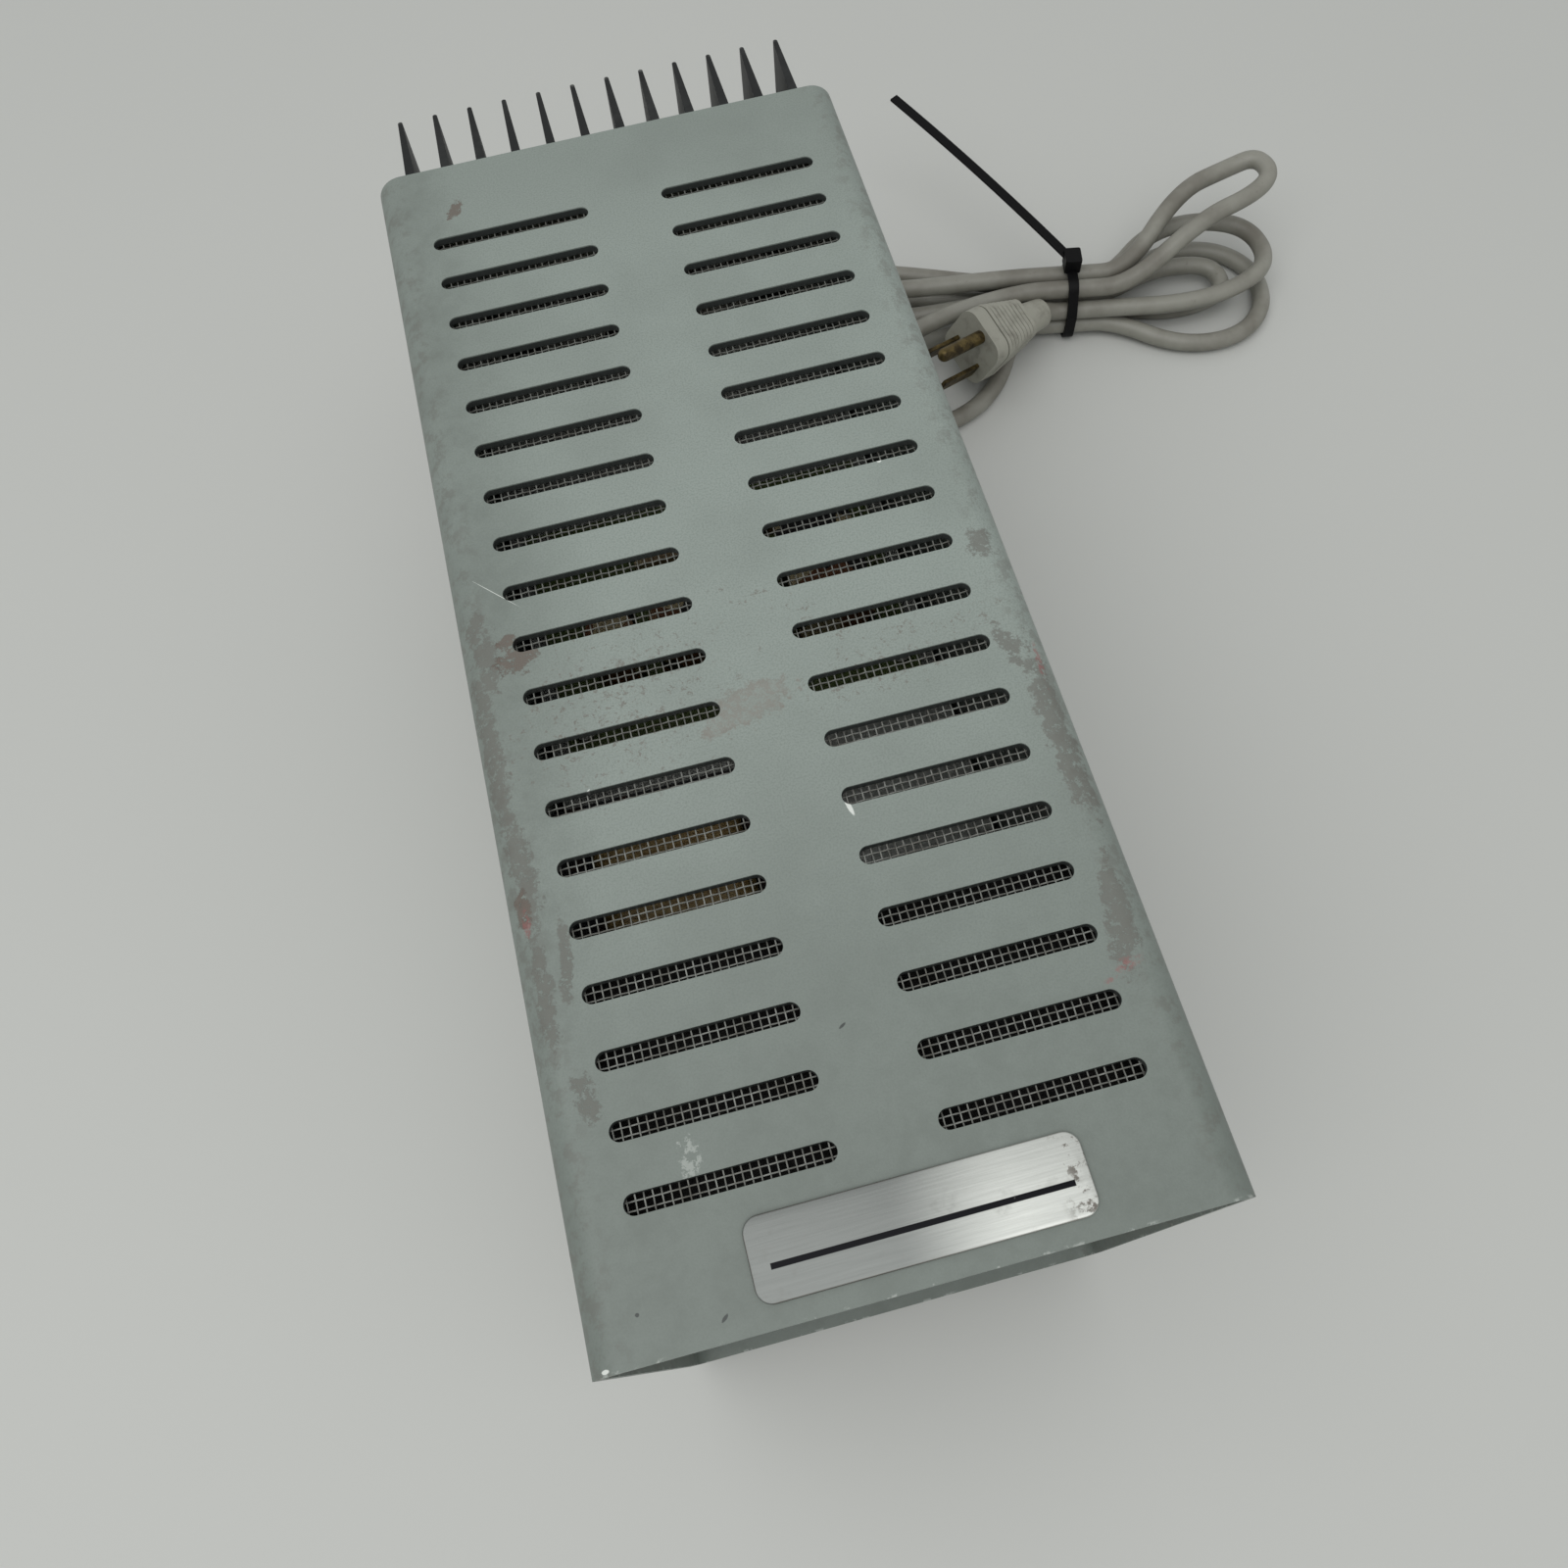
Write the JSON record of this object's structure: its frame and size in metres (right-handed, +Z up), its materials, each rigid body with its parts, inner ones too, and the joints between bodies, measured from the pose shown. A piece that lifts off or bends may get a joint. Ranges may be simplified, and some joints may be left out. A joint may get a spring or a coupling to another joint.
{
  "type": "dry block heater",
  "caption": "Bench block heater: slotted sheet-metal case with wire screen, finned rear heat sink, recessed front with a slide-in well block, knob and switch, and a tied mains lead.",
  "frame": {"origin": "on the floor under the middle of the case and heat sink", "axes": "+Z up, front toward -Y, +X to the right seen from the front"},
  "size_m": [0.3057, 0.4166, 0.1658],
  "materials": {
    "case_paint": "satin",
    "wire_cloth": "satin",
    "bare_aluminium": "satin",
    "panel_paint": "satin",
    "black_anodised": "satin",
    "black_rubber": "matte",
    "screw_steel": "satin",
    "mica": "satin",
    "phenolic": "matte",
    "insulation_board": "matte",
    "plated_nut": "polished",
    "black_plastic": "satin",
    "red_lens": "gloss",
    "fuse_glass": "gloss",
    "core_iron": "matte",
    "coil_paper": "matte",
    "capacitor_sleeve": "gloss",
    "board_laminate": "satin",
    "component_mix": "satin",
    "standoff_brass": "satin",
    "cord_vinyl": "satin",
    "blade_brass": "satin"
  },
  "bodies": {
    "case": {"case_sleeve": "case_paint", "vent_screen": "wire_cloth", "name_plate": "bare_aluminium", "dial_plate": "bare_aluminium", "chassis_tray": "bare_aluminium", "equipment_shelf": "bare_aluminium", "rear_panel": "bare_aluminium", "heater_jacket": "bare_aluminium", "capacitor_clamp": "bare_aluminium", "thermal_cutout": "bare_aluminium", "front_panel": "panel_paint", "heat_sink": "black_anodised", "rubber_feet": "black_rubber", "foot_screws": "screw_steel", "shelf_screws": "screw_steel", "front_panel_screws": "screw_steel", "rear_panel_screws": "screw_steel", "heat_sink_screws": "screw_steel", "transistor_screws": "screw_steel", "jacket_screws": "screw_steel", "transformer_screws": "screw_steel", "board_screws": "screw_steel", "transformer_spacers": "screw_steel", "power_transistors": "screw_steel", "cartridge_heaters": "screw_steel", "temperature_sensor": "screw_steel", "mica_insulators": "mica", "insulating_frame": "phenolic", "power_switch_body": "phenolic", "block_insulation": "insulation_board", "insulation_rear_pad": "insulation_board", "power_switch_nut": "plated_nut", "potentiometer_nut": "plated_nut", "pilot_lamp_body": "plated_nut", "control_potentiometer": "plated_nut", "fuse_holder": "black_plastic", "fuse_holder_nut": "black_plastic", "bridge_rectifier": "black_plastic", "strain_relief": "black_plastic", "cable_tie": "black_plastic", "pilot_lamp_lens": "red_lens", "transformer_core": "core_iron", "transformer_coil": "coil_paper", "filter_capacitor": "capacitor_sleeve", "circuit_board": "board_laminate", "board_components": "component_mix", "board_standoffs": "standoff_brass", "power_cord_lead": "cord_vinyl", "power_cord_hank": "cord_vinyl", "plug_body": "cord_vinyl", "plug_blades": "blade_brass", "plug_ground_pin": "blade_brass"},
    "insert": {"block_insert": "bare_aluminium"},
    "switch_lever": {"power_switch_lever": "plated_nut"},
    "control": {"control_shaft": "screw_steel", "control_knob": "black_plastic", "knob_set_screw": "screw_steel"},
    "fuse_carrier": {"fuse_cap": "black_plastic", "fuse": "fuse_glass"}
  },
  "joints": [
    {"name": "insert_slide", "type": "slide", "parent": "case", "child": "insert", "axis": [0, -1, 0], "range_m": [0, 0.06]},
    {"name": "switch_throw", "type": "hinge", "parent": "case", "child": "switch_lever", "pos_m": [-0.036, -0.13885, 0.045], "axis": [-1, 0, 0], "range_deg": [0, 25]},
    {"name": "control_turn", "type": "hinge", "parent": "case", "child": "control", "pos_m": [0.018, -0.13385, 0.045], "axis": [0, 1, 0], "range_deg": [-150, 150]},
    {"name": "fuse_twist", "type": "hinge", "parent": "case", "child": "fuse_carrier", "pos_m": [-0.03, 0.12055, 0.027], "axis": [0, 1, 0], "range_deg": [0, 45]}
  ]
}
